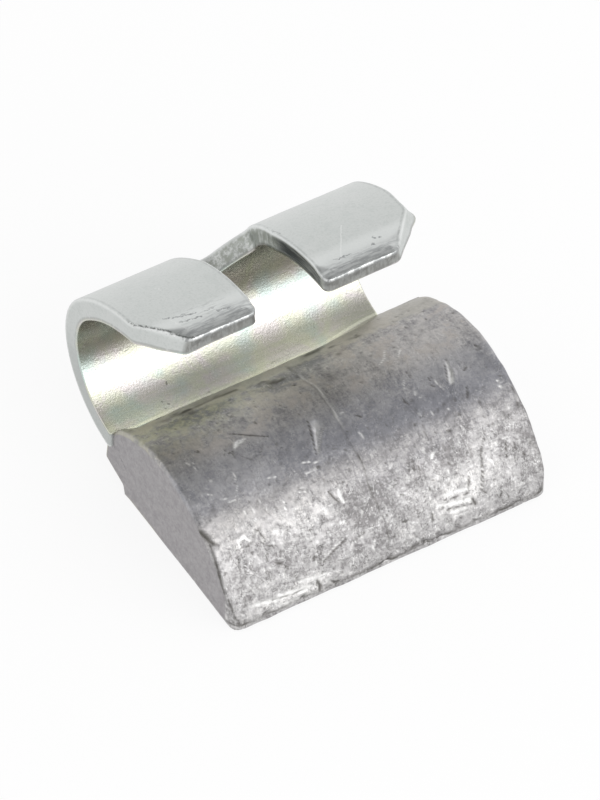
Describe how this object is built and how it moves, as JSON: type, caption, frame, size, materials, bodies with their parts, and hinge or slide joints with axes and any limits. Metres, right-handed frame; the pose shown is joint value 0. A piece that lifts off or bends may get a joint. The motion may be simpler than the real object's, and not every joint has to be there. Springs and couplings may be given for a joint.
{
  "type": "wheel balance weight",
  "caption": "Clip-on wheel balance weight: a cast lead body with a rounded face and a folded steel clip that hooks over the rim flange.",
  "frame": {"origin": "middle of the casting's flat face, on that face", "axes": "+Z out of the flat face through the casting, +Y along the rim, +X from the clip's curl towards the nose, the way the rim flange leaves the hook"},
  "size_m": [0.0272, 0.0312, 0.0235],
  "materials": {
    "clip": "zinc plated, satin, scratched at the tabs' edges",
    "lead": "cast lead, dull grey, scratched and nicked"
  },
  "bodies": {
    "root": {"clip": "clip", "lead_body": "lead"}
  },
  "joints": []
}
